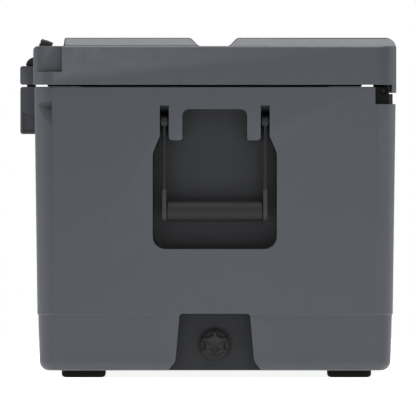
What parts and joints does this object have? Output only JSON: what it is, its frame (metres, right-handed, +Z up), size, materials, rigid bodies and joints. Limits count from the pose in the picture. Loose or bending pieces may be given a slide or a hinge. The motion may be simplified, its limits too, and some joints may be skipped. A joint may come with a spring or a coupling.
{
  "type": "hard cooler box",
  "caption": "Hard insulated cooler box with a hinged lid, rubber draw latches, fold-down bail handles in the ends, a threaded drain and rubber feet.",
  "frame": {"origin": "on the ground, under the middle of the whole box", "axes": "+X along the box towards the drain end, +Y from the latches to the hinges, +Z up"},
  "size_m": [0.78, 0.445, 0.4016],
  "materials": {
    "shell_plastic": "matte",
    "liner_plastic": "satin",
    "insulation_foam": "matte",
    "black_rubber": "matte",
    "black_nylon": "satin",
    "stainless_steel": "satin"
  },
  "bodies": {
    "cooler_body": {"body_shell": "shell_plastic", "body_liner": "liner_plastic", "body_foam": "insulation_foam", "hinge_base_left": "black_nylon", "hinge_base_right": "black_nylon", "hinge_rod_left": "stainless_steel", "hinge_rod_right": "stainless_steel", "hinge_base_screws": "stainless_steel", "latch_pin_left": "stainless_steel", "latch_pin_right": "stainless_steel", "handle_pins": "stainless_steel", "foot_front_left": "black_rubber", "foot_front_right": "black_rubber", "foot_rear_left": "black_rubber", "foot_rear_right": "black_rubber", "foot_screws": "stainless_steel", "drain_fitting": "black_nylon", "drain_washer": "black_rubber", "drain_nut": "black_nylon"},
    "lid": {"lid_shell": "shell_plastic", "lid_liner": "liner_plastic", "lid_foam": "insulation_foam", "lid_gasket": "black_rubber", "hinge_leaf_left": "black_nylon", "hinge_leaf_right": "black_nylon", "hinge_leaf_screws": "stainless_steel"},
    "latch_left": {"latch_left": "black_rubber"},
    "latch_right": {"latch_right": "black_rubber"},
    "handle_left": {"handle_bail_left": "black_nylon", "handle_grip_left": "black_rubber"},
    "handle_right": {"handle_bail_right": "black_nylon", "handle_grip_right": "black_rubber"},
    "plug_seal": {"drain_plug_seal": "black_rubber"},
    "plug": {"drain_plug": "black_nylon"}
  },
  "joints": [
    {"name": "lid_hinge", "type": "hinge", "parent": "cooler_body", "child": "lid", "pos_m": [0, 0.2073, 0.3388], "axis": [-1, 0, 0], "range_deg": [0, 90]},
    {"name": "latch_left_pivot", "type": "hinge", "parent": "cooler_body", "child": "latch_left", "pos_m": [-0.26, -0.2118, 0.3], "axis": [1, 0, 0], "range_deg": [0, 165], "deforming": ["latch_left"]},
    {"name": "latch_right_pivot", "type": "hinge", "parent": "cooler_body", "child": "latch_right", "pos_m": [0.26, -0.2118, 0.3], "axis": [1, 0, 0], "range_deg": [0, 165], "deforming": ["latch_right"]},
    {"name": "handle_left_pivot", "type": "hinge", "parent": "cooler_body", "child": "handle_left", "pos_m": [-0.3736, 0.008, 0.3033], "axis": [0, 1, 0], "range_deg": [0, 100]},
    {"name": "handle_right_pivot", "type": "hinge", "parent": "cooler_body", "child": "handle_right", "pos_m": [0.3736, 0.008, 0.3033], "axis": [0, -1, 0], "range_deg": [0, 100]},
    {"name": "plug_travel", "type": "slide", "parent": "cooler_body", "child": "plug_seal", "axis": [1, 0, 0], "range_m": [0, 0.0121]},
    {"name": "plug_turn", "type": "hinge", "parent": "plug_seal", "child": "plug", "pos_m": [0.37, 0.008, 0.0389], "axis": [1, 0, 0], "range_deg": [0, 1440]}
  ],
  "couplings": [
    {"joint": "plug_travel", "follows": "plug_turn", "m_per_rad": 0.00047746}
  ]
}
